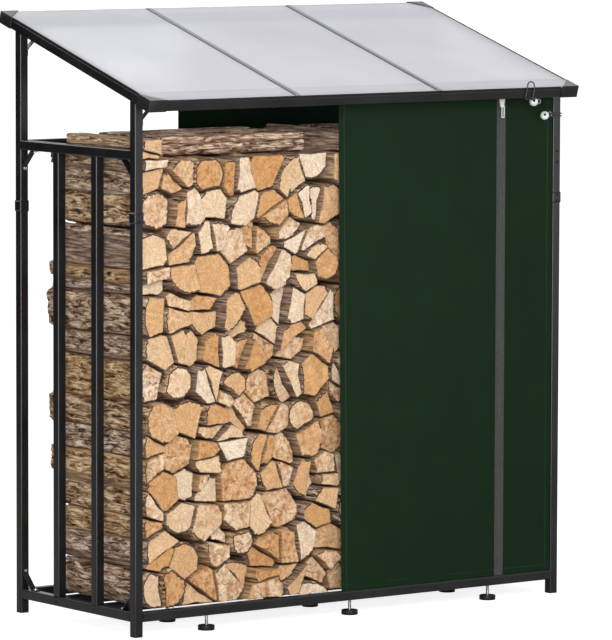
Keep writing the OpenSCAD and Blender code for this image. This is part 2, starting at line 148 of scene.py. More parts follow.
for name in STEEL_NODES:
    give(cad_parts[name], powder_coat)


# Plugs and corner caps: moulded polypropylene, pushed into the tube ends and clipped over the
# corners of the roof. Each cap is the solid's own shape with its doubled points merged and its
# edges rounded by 1 mm. Its top is grey, a painted reflection of the sky, over a fine grain;
# its skirt is smooth.
def alone(piece):
    """Makes a piece the only one selected, and the active one."""
    bpy.ops.object.select_all(action="DESELECT")
    piece.select_set(True)
    bpy.context.view_layer.objects.active = piece


def primitive(kind, name, **how):
    """A new object from one of the mesh primitives, alone and in edit mode with all selected."""
    bpy.ops.object.select_all(action="DESELECT")
    getattr(bpy.ops.mesh, f"primitive_{kind}_add")(**how)
    made = bpy.context.object
    made.name = made.data.name = name
    bpy.ops.object.mode_set(mode="EDIT")
    bpy.ops.mesh.select_all(action="SELECT")
    return made


def settle(piece, *materials, angle=35):
    """Leaves edit mode, applies the modifiers and the placing, smooths and gives the finish."""
    if bpy.context.mode != "OBJECT":
        bpy.ops.object.mode_set(mode="OBJECT")
    alone(piece)
    bpy.ops.object.transform_apply(location=True, rotation=True, scale=True)
    for modifier in list(piece.modifiers):
        bpy.ops.object.modifier_apply(modifier=modifier.name)
    bpy.ops.object.shade_smooth_by_angle(angle=math.radians(angle))
    if materials:
        give(piece, *materials)
    return piece


def rounded(piece, width, segments=2):
    """Adds a bevel of its sharp edges to a piece."""
    bevel = piece.modifiers.new("rounding", "BEVEL")
    bevel.width, bevel.segments, bevel.limit_method = width, segments, "ANGLE"
    bevel.angle_limit = math.radians(40)


def merged_copy(node, name, width):
    """A copy of a solid with its doubled points merged and its edges rounded."""
    made = linked(name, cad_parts[node].data.copy())
    made.data.name = name
    alone(made)
    bpy.ops.object.mode_set(mode="EDIT")
    bpy.ops.mesh.select_all(action="SELECT")
    bpy.ops.mesh.remove_doubles(threshold=0.00001)
    bpy.ops.mesh.dissolve_limited(angle_limit=math.radians(1))
    rounded(made, width)
    return settle(made)


def belongs(piece, slot, *nodes):
    """Fixes a finished piece to the store, in place of these solids."""
    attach(piece, "root")
    if nodes:
        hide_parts(*nodes)
    return piece


def clouded(name, size, dark, light, detail=2.0, **constants):
    """A finish of two close tones that drift into each other in clouds of this size, in metres.
    Returns the material, its node tree, its shader and its clouds."""
    made, tree, shader = finish(name, **constants)
    place = add(tree, "TexCoord").outputs["Object"]
    cloud = add(tree, "TexNoise", {"Vector": place, "Scale": 1 / size, "Detail": detail})
    tone = add(tree, "ValToRGB", {"Fac": cloud}, stops=[(0.3, dark), (0.7, light)])
    wire(shader, Base_Color=tone)
    return made, tree, shader, cloud


# Black polypropylene: smooth and half gloss, with a faint cloud left by the mould.
black_plastic = clouded("polypropylene_black", 0.03, "#151517", "#202022", 3.0,
                        Roughness=0.42, Specular_IOR_Level=0.14)[0]
# The caps' top: a fine leather grain of 1.5 mm, in a grey that is a painted reflection of the sky.
grained_painted_reflection, tree, shader, grain = clouded(
    "polypropylene_grained", 0.0015, "#68676a", "#7b7a7d", 3.0, Roughness=0.55)
bump = add(tree, "Bump", {"Height": grain, "Strength": 0.2, "Distance": 0.0004})
wire(shader, Normal=bump)
caps = merged_copy("roof_corner_caps", "corner_caps_moulded", 0.001)
give(caps, black_plastic, grained_painted_reflection)
# Faces that look up get the grey of the painted reflection.
for face in caps.data.polygons:
    face.material_index = int(face.normal.z > 0.9)
belongs(caps, "cap_plastic", "roof_corner_caps")
give(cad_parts["post_plugs"], black_plastic)

# Levelling feet: a fluted plastic pad on a zinc plated M10 screw that turns into the rail. Pad
# and thread are modelled once and repeated under the twelve places. The flutes are faces drawn
# in round the pad, the thread is one turn of its profile, screwed upward.
FOOT_PLACES = [(x, y) for x in (-0.553, 0, 0.553) for y in (-0.315, -0.105, 0.105, 0.315)]
PAD_RADIUS, PAD_HEIGHT, PAD_DISH, RAIL_UNDER = 0.026, 0.015, 0.002, 0.046
THREAD_ROOT, THREAD_CREST, THREAD_PITCH = 0.0042, 0.005, 0.0015
FLUTE_ANGLE = 7.5


def repeated(name, source, places, *materials):
    """One mesh of copies of a modelled piece, each placed by a matrix. The model goes."""
    mesh = source.data
    points = np.empty(len(mesh.vertices) * 3)
    mesh.vertices.foreach_get("co", points)
    points = points.reshape(-1, 3)
    faces = [np.array(face.vertices) for face in mesh.polygons]
    turned = [points @ np.array(m.to_3x3()).T + np.array(m.translation) for m in places]
    made = linked(name, bpy.data.meshes.new(name))
    made.data.from_pydata(np.vstack(turned), [], [
        (face + k * len(points)).tolist() for k in range(len(places)) for face in faces])
    bpy.data.objects.remove(source)
    return settle(made, *materials)


def chosen(piece, test):
    """In edit mode, selects only the faces that pass a test."""
    bpy.ops.mesh.select_mode(type="FACE")
    bpy.ops.mesh.select_all(action="DESELECT")
    bpy.ops.object.mode_set(mode="OBJECT")
    for face in piece.data.polygons:
        face.select = bool(test(face))
    bpy.ops.object.mode_set(mode="EDIT")


# Zinc plating: pale metal, a little clouded, that breaks up what it reflects.
zinc = clouded("zinc_plated_steel", 0.01, "#85888c", "#b4b7ba", 3.0,
               Metallic=1.0, Roughness=0.32)[0]
pad = primitive("cylinder", "pad", vertices=48, radius=PAD_RADIUS, depth=PAD_HEIGHT,
                location=(0, 0, PAD_HEIGHT / 2))
chosen(pad, lambda face: abs(face.normal.z) > 0.99)
bpy.ops.mesh.bevel(offset=0.0012, segments=2, affect="EDGES")
chosen(pad, lambda face: abs(face.normal.z) < 0.1 and
       round(math.degrees(math.atan2(face.center.y, face.center.x)) / FLUTE_ANGLE - 0.5) % 2)
bpy.ops.mesh.inset(thickness=0.0005, depth=-0.0013, use_individual=True)
chosen(pad, lambda face: face.normal.z > 0.99)
bpy.ops.mesh.inset(thickness=0.004)
bpy.ops.mesh.inset(thickness=0.01)
bpy.ops.transform.translate(value=(0, 0, -PAD_DISH))
settle(pad)
feet = [Matrix.Translation((x, y, 0)) for x, y in FOOT_PLACES]
belongs(repeated("foot_pads_fluted", pad, feet, black_plastic), "foot_plastic", "foot_pads")
thread = linked("thread", bpy.data.meshes.new("thread"))
THREAD_FOOT = PAD_HEIGHT - 0.0022
thread.data.from_pydata(
    [(THREAD_ROOT, 0, THREAD_FOOT), (THREAD_CREST, 0, THREAD_FOOT + THREAD_PITCH / 2),
     (THREAD_ROOT, 0, THREAD_FOOT + THREAD_PITCH)], [(0, 1), (1, 2)], [])
screwed = thread.modifiers.new("thread", "SCREW")
screwed.screw_offset, screwed.steps, screwed.use_merge_vertices = THREAD_PITCH, 20, True
screwed.iterations = math.ceil((RAIL_UNDER - PAD_HEIGHT + PAD_DISH) / THREAD_PITCH)
screwed.use_normal_calculate = True
settle(thread, angle=20)
belongs(repeated("foot_screws_threaded", thread, feet, zinc), "screw_zinc", "foot_screws")

# Bolts: steel button heads with a sunk socket. Bright ones hold the brace tabs, black ones hold
# the splices, the middle rails and the right posts. Modelled once each and repeated.
BRACE_AT, BRACE_THICK = 0.058, 0.003
POST_X, POST_Y, TUBE_HALF = 0.815, 0.315, 0.015
SILL_TOP, SIDE_RAIL_UNDER, PURLIN_UNDER = 0.076, 1.46, {-1: 1.6316, 1: 1.8206}
SPLICE_PROUD, SPLICE_LEVELS, TIE_LEVELS = 0.002, (1.275, 1.293), (1.398, 1.432)
MIDDLE_RAIL_Y, MIDDLE_RAIL_LEVEL = 0.105, 0.061


def facing(place, outward):
    """The matrix that stands a piece on a face there, with its top pointing outward."""
    return Matrix.Translation(place) @ Vector(outward).to_track_quat("Z", "Y").to_matrix().to_4x4()


def scaled(*by):
    """Scales the chosen faces about their middle."""
    bpy.ops.transform.resize(value=by)


def pushed(*way):
    """Extrudes the chosen faces along this way."""
    bpy.ops.mesh.extrude_region_move(TRANSFORM_OT_translate={"value": way})


def bolt_head(name, radius, height):
    """A button head with its socket, with its foot in the plane z = 0."""
    head = primitive("cylinder", name, vertices=20, radius=radius, depth=height,
                     location=(0, 0, height / 2))
    chosen(head, lambda face: face.normal.z > 0.9)
    scaled(0.82, 0.82, 1)
    bpy.ops.mesh.inset(thickness=radius * 0.38)
    pushed(0, 0, -height * 0.6)
    rounded(head, height * 0.16)
    return settle(head)


inner_x, inner_y = POST_X - TUBE_HALF, POST_Y - TUBE_HALF
outer_x, outer_y = POST_X + TUBE_HALF, POST_Y + TUBE_HALF
bright, black = [], []
for sx, sy in itertools.product((-1, 1), (-1, 1)):
    for level, up in ((SILL_TOP, 1), (SIDE_RAIL_UNDER, -1)):
        bright += [
            facing((sx * POST_X, sy * (inner_y - BRACE_THICK), level + up * BRACE_AT), (0, -sy, 0)),
            facing((sx * POST_X, sy * (inner_y - BRACE_AT), level + up * BRACE_THICK), (0, 0, up))]
    under = PURLIN_UNDER[sy]
    bright += [facing((sx * (inner_x - BRACE_THICK), sy * POST_Y, under - BRACE_AT), (-sx, 0, 0)),
               facing((sx * (inner_x - BRACE_AT), sy * POST_Y, under - BRACE_THICK), (0, 0, -1))]
    black += [facing((sx * POST_X, sy * (outer_y + SPLICE_PROUD), z), (0, sy, 0))
              for z in SPLICE_LEVELS]
    black.append(facing((sx * outer_x, sy * MIDDLE_RAIL_Y, MIDDLE_RAIL_LEVEL), (sx, 0, 0)))
    if sx > 0:
        black += [facing((sx * POST_X, sy * outer_y, z), (0, sy, 0)) for z in TIE_LEVELS]
belongs(repeated("brace_bolts", bolt_head("bright_bolt", 0.0062, 0.0035), bright, zinc),
        "screw_zinc")
belongs(repeated("frame_bolts", bolt_head("black_bolt", 0.0045, 0.0022), black, black_plastic),
        "frame_steel")

# Roof sheets: extruded twin-wall polycarbonate laid on the roof frame, with its ribs running
# down the slope and a black seal along all four edges. The solids have the shape of the sheets;
# the seals are strips with rounded edges.
RIB = 0.01
# Milky polycarbonate: lets light through but hardly any shapes, with faint ribs of 10 mm.
polycarbonate, tree, shader = finish("twin_wall_polycarbonate", Roughness=0.24, IOR=1.58,
                                     Transmission_Weight=0.42)
place = add(tree, "TexCoord").outputs["Object"]
cloud = add(tree, "TexNoise", {"Vector": place, "Scale": 1 / 0.35, "Detail": 2.0})
across = add(tree, "SeparateXYZ", {"Vector": place})
turns = add(tree, "Math", {0: across.outputs["X"], 1: 2 * math.pi / RIB}, operation="MULTIPLY")
ribs = add(tree, "Math", {0: turns}, operation="SINE")
ribbed = add(tree, "Math", {0: ribs, 1: 0.12, 2: cloud}, operation="MULTIPLY_ADD")
tone = add(tree, "ValToRGB", {"Fac": ribbed}, stops=[(0.25, "#e5e5ee"), (0.75, "#f2f2f9")])
# The beam, the purlins and their shadows under the sheet are painted on it as faint strips of
# shade along the eaves and ridge.
down = add(tree, "MapRange", {"Value": across.outputs["Y"], 1: -0.416, 2: 0.416})
painted_shade_bands = add(tree, "ValToRGB", {"Fac": down},
            stops=[(0.0, "#f7f5f8"), (0.078, "#f6f4f7"), (0.084, "#edecef"), (0.096, "#ffffff"),
                   (0.78, "#ffffff"), (0.84, "#f0f3f6"), (0.91, "#f0f3f6"), (0.95, "#ffffff")])
banded = add(tree, "Mix", {0: 1.0, 6: tone, 7: painted_shade_bands}, data_type="RGBA", blend_type="MULTIPLY")
bump = add(tree, "Bump", {"Height": ribs, "Strength": 0.05, "Distance": 0.0005})
wire(shader, Base_Color=banded, Normal=bump)
for name in ("roof_sheet_1", "roof_sheet_2", "roof_sheet_3"):
    give(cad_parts[name], polycarbonate)
PITCH, SLOPE = math.radians(16.7), 0.857
EAVES = Vector((0, -0.416, 1.645))
EAVES_SEAL, VERGE_SEAL = (1.53, 0.0026, 0.0062), (0.003, 0.722, 0.0085)
SEAL_IN, VERGE_X = 0.0055, 0.8288


def on_roof(x, v, w):
    """A point in the roof's own directions: along the eaves, up the slope and out of the slope."""
    return EAVES + Vector((x, v * math.cos(PITCH) - w * math.sin(PITCH),
                           v * math.sin(PITCH) + w * math.cos(PITCH)))


def block(name, size, place=(0, 0, 0)):
    """A new block of this size at this place, in edit mode."""
    made = primitive("cube", name, size=1)
    scaled(*size)
    bpy.ops.transform.translate(value=place)
    return made


seals = []
for size, x, v, w in ((EAVES_SEAL, 0, SEAL_IN, -0.0055), (EAVES_SEAL, 0, SLOPE - SEAL_IN, -0.0055),
                      (VERGE_SEAL, -VERGE_X, SLOPE / 2, -0.0045),
                      (VERGE_SEAL, VERGE_X, SLOPE / 2, -0.0045)):
    seal = block("edge_seal", size)
    rounded(seal, 0.0008)
    settle(seal)
    seal.data.transform(Matrix.Translation(on_roof(x, v, w)) @ Matrix.Rotation(PITCH, 4, "X"))
    seals.append(seal)
alone(seals[0])
for seal in seals[1:]:
    seal.select_set(True)
bpy.ops.object.join()
seals[0].name = "roof_edge_seals"
give(seals[0], black_plastic)
belongs(seals[0], "joint_strip")

# Joint strips: extruded aluminium, a T pressed between two sheets. Each is the solid's own
# shape with its edges rounded, in a dull grey with fine lines from the die along it. Its side
# faces are painted black, a painted shade along both edges.
aluminium, tree, shader = finish("mill_finish_aluminium", Metallic=0.9, Roughness=0.45)
place = add(tree, "TexCoord").outputs["Object"]
drawn = add(tree, "Mapping", {"Vector": place, "Scale": (1.0, 0.02, 0.02)})
lines = add(tree, "TexNoise", {"Vector": drawn, "Scale": 1 / 0.002, "Detail": 3.0})
tone = add(tree, "ValToRGB", {"Fac": lines}, stops=[(0.3, "#7c7e83"), (0.7, "#96989d")])
wire(shader, Base_Color=tone)
strips = merged_copy("roof_joints", "joint_strips_drawn", 0.0007)
give(strips, aluminium, black_plastic)
# Side faces get the black of the painted shade.
for face in strips.data.polygons:
    face.material_index = int(abs(face.normal.x) > 0.9)
belongs(strips, "joint_strip", "roof_joints")

# Firewood: about 350 split logs, stacked with their sawn ends to the front, and some laid
# on top. Each is remade from its solid with a rough hide, bark on the outside of the trunk and
# torn fibre where it was split. Between its sawn ends it bellies into the gaps beside it.
FIREWOOD_NODES = [f"firewood_{i}" for i in range(1, 9)] + ["firewood_top", "firewood_cross"]
SAMPLE, RIM = 0.0075, 0.0075
TRUNK_SIDES, SPLIT_RADIUS = 24, 0.11
SPOT_PITCH, GAP_MOST, BELLY_MOST = 0.006, 0.05, 0.024
STACK_LOW, STACK_HIGH = (-0.797, 0.0762), (0.797, 2)
STATIONS = np.array([0, 0.004, 0.022, 0.08, 0.17, 0.27, 0.38, 0.5, 0.62, 0.73, 0.83, 0.92,
                     0.978, 0.996, 1])
dice = np.random.default_rng(461)


def loose_prisms(mesh):
    """The corner points of each separate solid in a node's mesh, with doubles merged."""
    points = np.empty(len(mesh.vertices) * 3)
    mesh.vertices.foreach_get("co", points)
    mesh.calc_loop_triangles()
    corners = np.empty(len(mesh.loop_triangles) * 3, int)
    mesh.loop_triangles.foreach_get("vertices", corners)
    points, index = np.unique(points.reshape(-1, 3).round(5), axis=0, return_inverse=True)
    triangles = index.ravel()[corners].reshape(-1, 3)
    label = np.arange(len(points))
    while True:
        before, low = label.copy(), label[triangles].min(axis=1)
        for k in range(3):
            np.minimum.at(label, triangles[:, k], low)
        if (label == before).all():
            return [points[label == one] for one in np.unique(label)]


def outline_of(ends):
    """The corners of a log's end in order, which of its sides are bark, and the trunk's heart."""
    middle = ends.mean(axis=0)
    ends = ends[np.argsort(np.arctan2(*(ends - middle).T[::-1]))]
    sides = np.roll(ends, -1, axis=0) - ends
    lengths = np.linalg.norm(sides, axis=1)
    outward = np.column_stack([sides[:, 1], -sides[:, 0]]) / lengths[:, None]
    turn = np.degrees(np.arctan2(outward[:, 1], outward[:, 0])) % (360 / TRUNK_SIDES)
    bark = abs(turn - 180 / TRUNK_SIDES) < 0.12
    if lengths[bark].sum() > 0.45 * lengths.sum():
        bark[:] = True
    if bark.all():
        return ends, lengths, bark, middle
    round_side = bark.any()
    if not round_side:
        if dice.random() < 0.2:
            return ends, lengths, bark, middle + dice.normal(0, 0.03, 2)
        bark[lengths.argmax() - dice.integers(2):lengths.argmax() + 1] = True
    longest = np.where(bark, lengths, 0).argmax()
    radius = lengths[longest] / 2 / math.tan(math.pi / TRUNK_SIDES) if round_side else SPLIT_RADIUS
    return ends, lengths, bark, (ends[longest] + sides[longest] / 2 - outward[longest] * radius)


def beside(logs):
    """A tree of points round the ends of these logs, and the number of the log of each point."""
    spots, owners = [], []
    for k, points in enumerate(logs):
        ends = points[points[:, 1] < points[:, 1].min() + 1e-4][:, [0, 2]]
        ends = ends[np.argsort(np.arctan2(*(ends - ends.mean(axis=0)).T[::-1]))]
        for a, b in zip(ends, np.roll(ends, -1, axis=0)):
            steps = max(1, round(np.linalg.norm(b - a) / SPOT_PITCH))
            spots += [a + (b - a) * step / steps for step in range(steps)]
            owners += [k] * steps
    near_by = KDTree(len(spots))
    for k, (x, z) in enumerate(spots):
        near_by.insert((x, 0, z), k)
    near_by.balance()
    return near_by, owners


def remade_log(points, along, number=None):
    """One rough log: its points, faces, materials, and the values that its finish reads."""
    across = [k for k in (0, 1, 2) if k != along]
    near, far = points[:, along].min(), points[:, along].max()
    ends, lengths, side_bark, heart = outline_of(points[points[:, along] < near + 1e-4][:, across])
    side_bark |= along == 0
    ring, bark = [], []
    for k, length in enumerate(lengths):
        steps = max(1, round(length / SAMPLE))
        for step in range(steps):
            ring.append(ends[k] + (ends[(k + 1) % len(ends)] - ends[k]) * step / steps)
            bark.append(side_bark[k] and (step > 0 or side_bark[k - 1]))
    ring, bark = np.array(ring), np.array(bark, float)
    count, middle = len(ring), ring.mean(axis=0)
    reach = np.linalg.norm(ring - middle, axis=1)
    inward = (middle - ring) / reach[:, None]
    chips = np.abs(dice.normal(0, 0.0011, count)) * (1 - 0.6 * bark)
    ring = ring + inward * np.minimum(chips, 0.12 * reach)[:, None]
    ring = 0.8 * ring + 0.1 * (np.roll(ring, 1, axis=0) + np.roll(ring, -1, axis=0))
    steps = np.linalg.norm(np.roll(ring, -1, axis=0) - ring, axis=1)
    girth = np.concatenate([[0], np.cumsum(steps)])
    s, t = np.meshgrid(girth[:-1], STATIONS * (far - near))
    p = dice.uniform(0, 2 * math.pi, 12)
    furrow = np.sin(s / 0.0036 + 1.6 * np.sin(t / 0.017 + p[0]) + p[1]) * np.sin(t / 0.029 + p[2])
    plate = np.sin(t / 0.011 + 2.2 * np.sin(s / 0.007 + p[3]) + p[4])
    fibre = np.sin(s / 0.0031 + 0.8 * np.sin(t / 0.06 + p[5]) + p[6])
    sweep = np.sin(t / 0.075 + s / 0.02 + p[7])
    bark_dip = 0.0019 * (1 + furrow) + 0.0011 * (1 + plate)
    split_dip = 0.0008 * (1 + fibre) + 0.0011 * (1 + sweep)
    gap = dice.uniform(0.0006, 0.0026)
    dip = gap + bark * bark_dip + (1 - bark) * split_dip
    dip[[0, -1]] += 0.0007
    hide = ring[None] + inward[None] * dip[:, :, None]
    belly = np.zeros(count)
    if number is not None:
        for k, (x, z) in enumerate(ring):
            for at, spot, off in NEAR_BY.find_n((x, 0, z), 16):
                faces_it = (x - at.x) * inward[k][0] + (z - at.z) * inward[k][1] > 0.4 * off
                if OWNERS[spot] != number and off < GAP_MOST and faces_it:
                    belly[k] = min(0.5 * off + 0.003, BELLY_MOST)
                    break
        belly = (belly + np.roll(belly, 1) + np.roll(belly, -1)) / 3
    bow = 0.002 * np.sin(p[8:10])
    tilt = dice.uniform(-0.055, 0.055, (2, 2))
    rows, depth = [], []
    for k, station in enumerate(STATIONS):
        cut = int(station >= 0.5)
        lean = (hide[k] - middle) @ tilt[cut]
        low = (np.vstack([hide[0], hide[-1]]) - middle) @ tilt[cut]
        share = max(0, 1 - 12 * min(station, 1 - station))
        lean = (lean - (low.max() if cut else low.min())) * share
        swell = 1 - 1.2 * (station - 0.5) ** 2 if cut else math.sin(math.pi * station) ** 1.4
        rows.append(hide[k] - (inward * belly[:, None] - bow) * swell)
        depth.append(near + station * (far - near) + lean)
    sides = len(rows) * count
    faces, kinds, uv = [], [], []
    nexts = (np.arange(count) + 1) % count
    for k in range(len(STATIONS) - 1):
        a, b = k * count + np.arange(count), k * count + nexts
        faces.append(np.column_stack([a, b, b + count, a + count]))
        kinds.append(np.where(bark * bark[nexts] > 0, 1, 2))
        t0, t1 = STATIONS[k] * (far - near), STATIONS[k + 1] * (far - near)
        uv.append(np.stack([np.column_stack([g, np.full(count, t)]) for g, t in (
            (girth[:-1], t0), (girth[1:], t0), (girth[1:], t1), (girth[:-1], t1))], axis=1))
    centre_faces, centre_uv = [], []
    start = sides
    for cut, edge in ((0, 0), (1, len(STATIONS) - 1)):
        way = -1 if cut else 1
        outer = edge * count + np.arange(count)
        outer_xy, spread = hide[edge], hide[edge] - middle
        for share in (1 - RIM / np.linalg.norm(spread, axis=1)[:, None], 0.66, 0.33):
            inner_xy = middle + spread * share
            rough = dice.normal(0, 0.0004, count)
            level = depth[edge] - spread @ tilt[cut] + (inner_xy - middle) @ tilt[cut]
            rows.append(inner_xy)
            depth.append(level + way * np.abs(rough))
            inner = start + np.arange(count)
            quad = np.column_stack([outer[nexts], outer, inner, inner[nexts]])
            corner_uv = np.stack([outer_xy[nexts], outer_xy, inner_xy, inner_xy[nexts]], axis=1)
            faces.append(quad[:, ::way])
            uv.append(corner_uv[:, ::way] - heart)
            kinds.append(np.zeros(count, int))
            outer, outer_xy, start = inner, inner_xy, start + count
        rows.append(middle[None])
        depth.append(np.array([depth[-1].mean()]))
        tri = np.column_stack([outer[nexts], outer, np.full(count, start)])
        corner_uv = np.stack([outer_xy[nexts], outer_xy, np.repeat(middle[None], count, 0)], axis=1)
        centre_faces.append(tri[:, ::way])
        centre_uv.append(corner_uv[:, ::way] - heart)
        start += 1
    flat_xy, deep = np.vstack(rows), np.concatenate(depth)
    if number is not None:
        flat_xy = np.clip(flat_xy, STACK_LOW, STACK_HIGH)
    placed = np.empty((len(flat_xy), 3))
    placed[:, across], placed[:, along] = flat_xy, deep
    values = np.zeros((len(placed), 4), np.float32)
    values[:, [0, 1, 3]] = dice.random(3)
    values[:, 1] *= 1 if along else 0.4
    # The rim's mark: 1 where there is bark, 0.34 on split sides, which darkens their edge as
    # painted shade.
    values[:sides, 2] = np.maximum(np.tile(bark, len(STATIONS)), 0.34)
    way = 1 if along else -1
    turned = [np.concatenate(one)[:, ::way] for one in (faces, centre_faces, uv, centre_uv)]
    return placed, *turned, np.concatenate(kinds), values


def wood(name, roughness, gloss):
    """A new wood finish: material, tree, shader, its coordinates and the values of its log."""
    made, tree, shader = finish(name, Roughness=roughness, Specular_IOR_Level=gloss)
    log_tone = add(tree, "Attribute", attribute_name="log_tone").outputs["Color"]
    log = add(tree, "SeparateColor", {"Color": log_tone}).outputs
    return made, tree, shader, add(tree, "TexCoord").outputs, log


def along_log(tree, spot, log, share):
    """The place on a log's hide, its length shrunk to this share, and apart from other logs."""
    lengthwise = add(tree, "Mapping", {"Vector": spot["UV"], "Scale": (1.0, share, 1.0)})
    apart = add(tree, "CombineXYZ", {"Z": log["Red"]})
    return add(tree, "VectorMath", {0: lengthwise, 1: apart}, operation="ADD")


# Sawn end grain of birch and oak: matt, cream to orange from log to log, with stains, the
# speckle of open pores, faint rings round the trunk's heart, a crack in some, a rim of bark,
# and a painted shade round the edge of every end.
# Pores of 1 mm and rings of 3 mm are both drawn 6 mm apart, so that they show.
sawn_end, tree, shader, spot, log = wood("sawn_end_grain", 0.85, 0.2)
around = add(tree, "SeparateXYZ", {"Vector": spot["UV"]})
wander = add(tree, "TexNoise", {"Vector": spot["Object"], "Scale": 1 / 0.04, "Detail": 3.0})
radius = add(tree, "VectorMath", {0: spot["UV"]}, operation="LENGTH")
bent = add(tree, "Math", {0: wander, 1: 0.014, 2: radius}, operation="MULTIPLY_ADD")
rings = add(tree, "Math", {0: add(tree, "Math", {0: bent, 1: 2 * math.pi / 0.006},
                                  operation="MULTIPLY")}, operation="SINE")
wood_tone = add(tree, "ValToRGB", {"Fac": log["Red"]},
                stops=[(0.0, "#fae4ca"), (0.15, "#f4dabb"), (0.45, "#ecc89e"), (0.75, "#e2b484"),
                       (1.0, "#d8a268")])
stain = add(tree, "MapRange", {"Value": wander, 1: 0.42, 2: 0.68, 3: 0.0, 4: 0.7})
stain_on = add(tree, "Math", {0: stain, 1: log["Green"]}, operation="MULTIPLY")
stained = add(tree, "Mix", {0: stain_on, 6: wood_tone, 7: linear("#c98c4c")}, data_type="RGBA")
mottle = add(tree, "TexNoise", {"Vector": spot["Object"], "Scale": 1 / 0.016, "Detail": 3.0,
                                "Roughness": 0.6})
mottle_at = add(tree, "MapRange", {"Value": mottle, 1: 0.48, 2: 0.62, 3: 0.0, 4: 0.75})
mottle_in = add(tree, "MapRange", {"Value": log["Green"], 1: 0.3, 2: 0.8})
mottle_on = add(tree, "Math", {0: mottle_at, 1: mottle_in}, operation="MULTIPLY")
mottled = add(tree, "Mix", {0: mottle_on, 6: stained, 7: linear("#b06f38")}, data_type="RGBA")
bearing = add(tree, "Math", {0: around.outputs["X"], 1: around.outputs["Y"]}, operation="ARCTAN2")
fan = add(tree, "CombineXYZ", {"X": bearing, "Y": radius, "Z": log["Red"]})
spread = add(tree, "VectorMath", {0: fan, 1: (1.0, 5.0, 9.0)}, operation="MULTIPLY")
rays = add(tree, "TexNoise", {"Vector": spread, "Scale": 7.0, "Detail": 5.0, "Roughness": 0.7})
pores = add(tree, "TexNoise", {"Vector": spot["Object"], "Scale": 1 / 0.006, "Detail": 4.0,
                               "Roughness": 0.8})
shade = add(tree, "MapRange", {"Value": pores, 1: 0.3, 2: 0.62, 3: 0.66, 4: 1.12})
ring_shade = add(tree, "MapRange", {"Value": rings, 1: -1.0, 2: 1.0, 3: 0.9, 4: 1.0})
ray_shade = add(tree, "MapRange", {"Value": rays, 1: 0.35, 2: 0.65, 3: 0.74, 4: 1.12})
grain = add(tree, "Math", {0: ring_shade, 1: ray_shade}, operation="MULTIPLY")
both = add(tree, "Math", {0: shade, 1: grain}, operation="MULTIPLY")
shaded = add(tree, "VectorMath", {0: mottled, 3: both}, operation="SCALE")
spokes = add(tree, "Math", {0: bearing, 1: 1 / math.pi, 2: wander}, operation="MULTIPLY_ADD")
spoke = add(tree, "Math", {0: spokes, 1: 1.0}, operation="PINGPONG")
spoke_off = add(tree, "Math", {0: spoke, 1: radius}, operation="MULTIPLY")
crack = add(tree, "MapRange", {"Value": spoke_off, 1: 0.0003, 2: 0.0007, 3: 0.8, 4: 0.0})
cracked = add(tree, "Math", {0: log["Green"], 1: 0.75}, operation="GREATER_THAN")
crack_on = add(tree, "Math", {0: crack, 1: cracked}, operation="MULTIPLY")
with_crack = add(tree, "Mix", {0: crack_on, 6: shaded, 7: linear("#6b4c30")}, data_type="RGBA")
# Bark sides get a dark rim of bark; split sides get a lighter one, painted shade between the logs.
bark_rim_and_edge_shade = add(tree, "MapRange", {"Value": log["Blue"], 1: 0.2, 2: 0.45})
with_rim = add(tree, "Mix", {0: bark_rim_and_edge_shade, 6: with_crack, 7: linear("#463529")}, data_type="RGBA")
bump = add(tree, "Bump", {"Height": both, "Strength": 0.6, "Distance": 0.0015})
wire(shader, Base_Color=with_rim, Normal=bump)

# Bark, weathered: pale grey brown ridges between dark furrows that run along the log, warmer
# on some. Ridges are about 6 mm wide and six times as long.
bark_hide, tree, shader, spot, log = wood("weathered_bark", 0.9, 0.15)
ridges = add(tree, "TexNoise", {"Vector": along_log(tree, spot, log, 0.17), "Scale": 1 / 0.011,
                                "Detail": 6.0, "Roughness": 0.72, "Distortion": 0.9})
bark_tone = add(tree, "ValToRGB", {"Fac": ridges},
                stops=[(0.38, "#1a120e"), (0.44, "#64493d"), (0.52, "#b69782"), (0.6, "#f2dfcc")])
warm_tone = add(tree, "ValToRGB", {"Fac": ridges},
                stops=[(0.38, "#20140c"), (0.44, "#765637"), (0.52, "#c39b69"), (0.61, "#f4d9ad")])
mixed = add(tree, "Mix", {0: log["Green"], 6: bark_tone, 7: warm_tone}, data_type="RGBA")
bump = add(tree, "Bump", {"Height": ridges, "Strength": 1.0, "Distance": 0.005})
wire(shader, Base_Color=mixed, Normal=bump)

# Split wood: torn fibres along the log, tan where it is fresh and grey brown where it is old.
# Strands are about 4 mm wide and some 60 mm long.
split_face, tree, shader, spot, log = wood("split_wood_fibre", 0.85, 0.2)
fibres = add(tree, "TexNoise", {"Vector": along_log(tree, spot, log, 0.07), "Scale": 1 / 0.007,
                                "Detail": 6.0, "Roughness": 0.68})
fresh_tone = add(tree, "ValToRGB", {"Fac": fibres},
                 stops=[(0.34, "#60442b"), (0.45, "#9d774e"), (0.55, "#c49e70"), (0.68, "#e2c498")])
old_tone = add(tree, "ValToRGB", {"Fac": fibres},
               stops=[(0.34, "#33251c"), (0.45, "#6f5848"), (0.55, "#a08672"), (0.68, "#d6bfa9")])
aged = add(tree, "MapRange", {"Value": log["Green"], 1: 0.45, 2: 0.8})
mixed = add(tree, "Mix", {0: aged, 6: old_tone, 7: fresh_tone}, data_type="RGBA")
bump = add(tree, "Bump", {"Height": fibres, "Strength": 0.9, "Distance": 0.003})
wire(shader, Base_Color=mixed, Normal=bump)

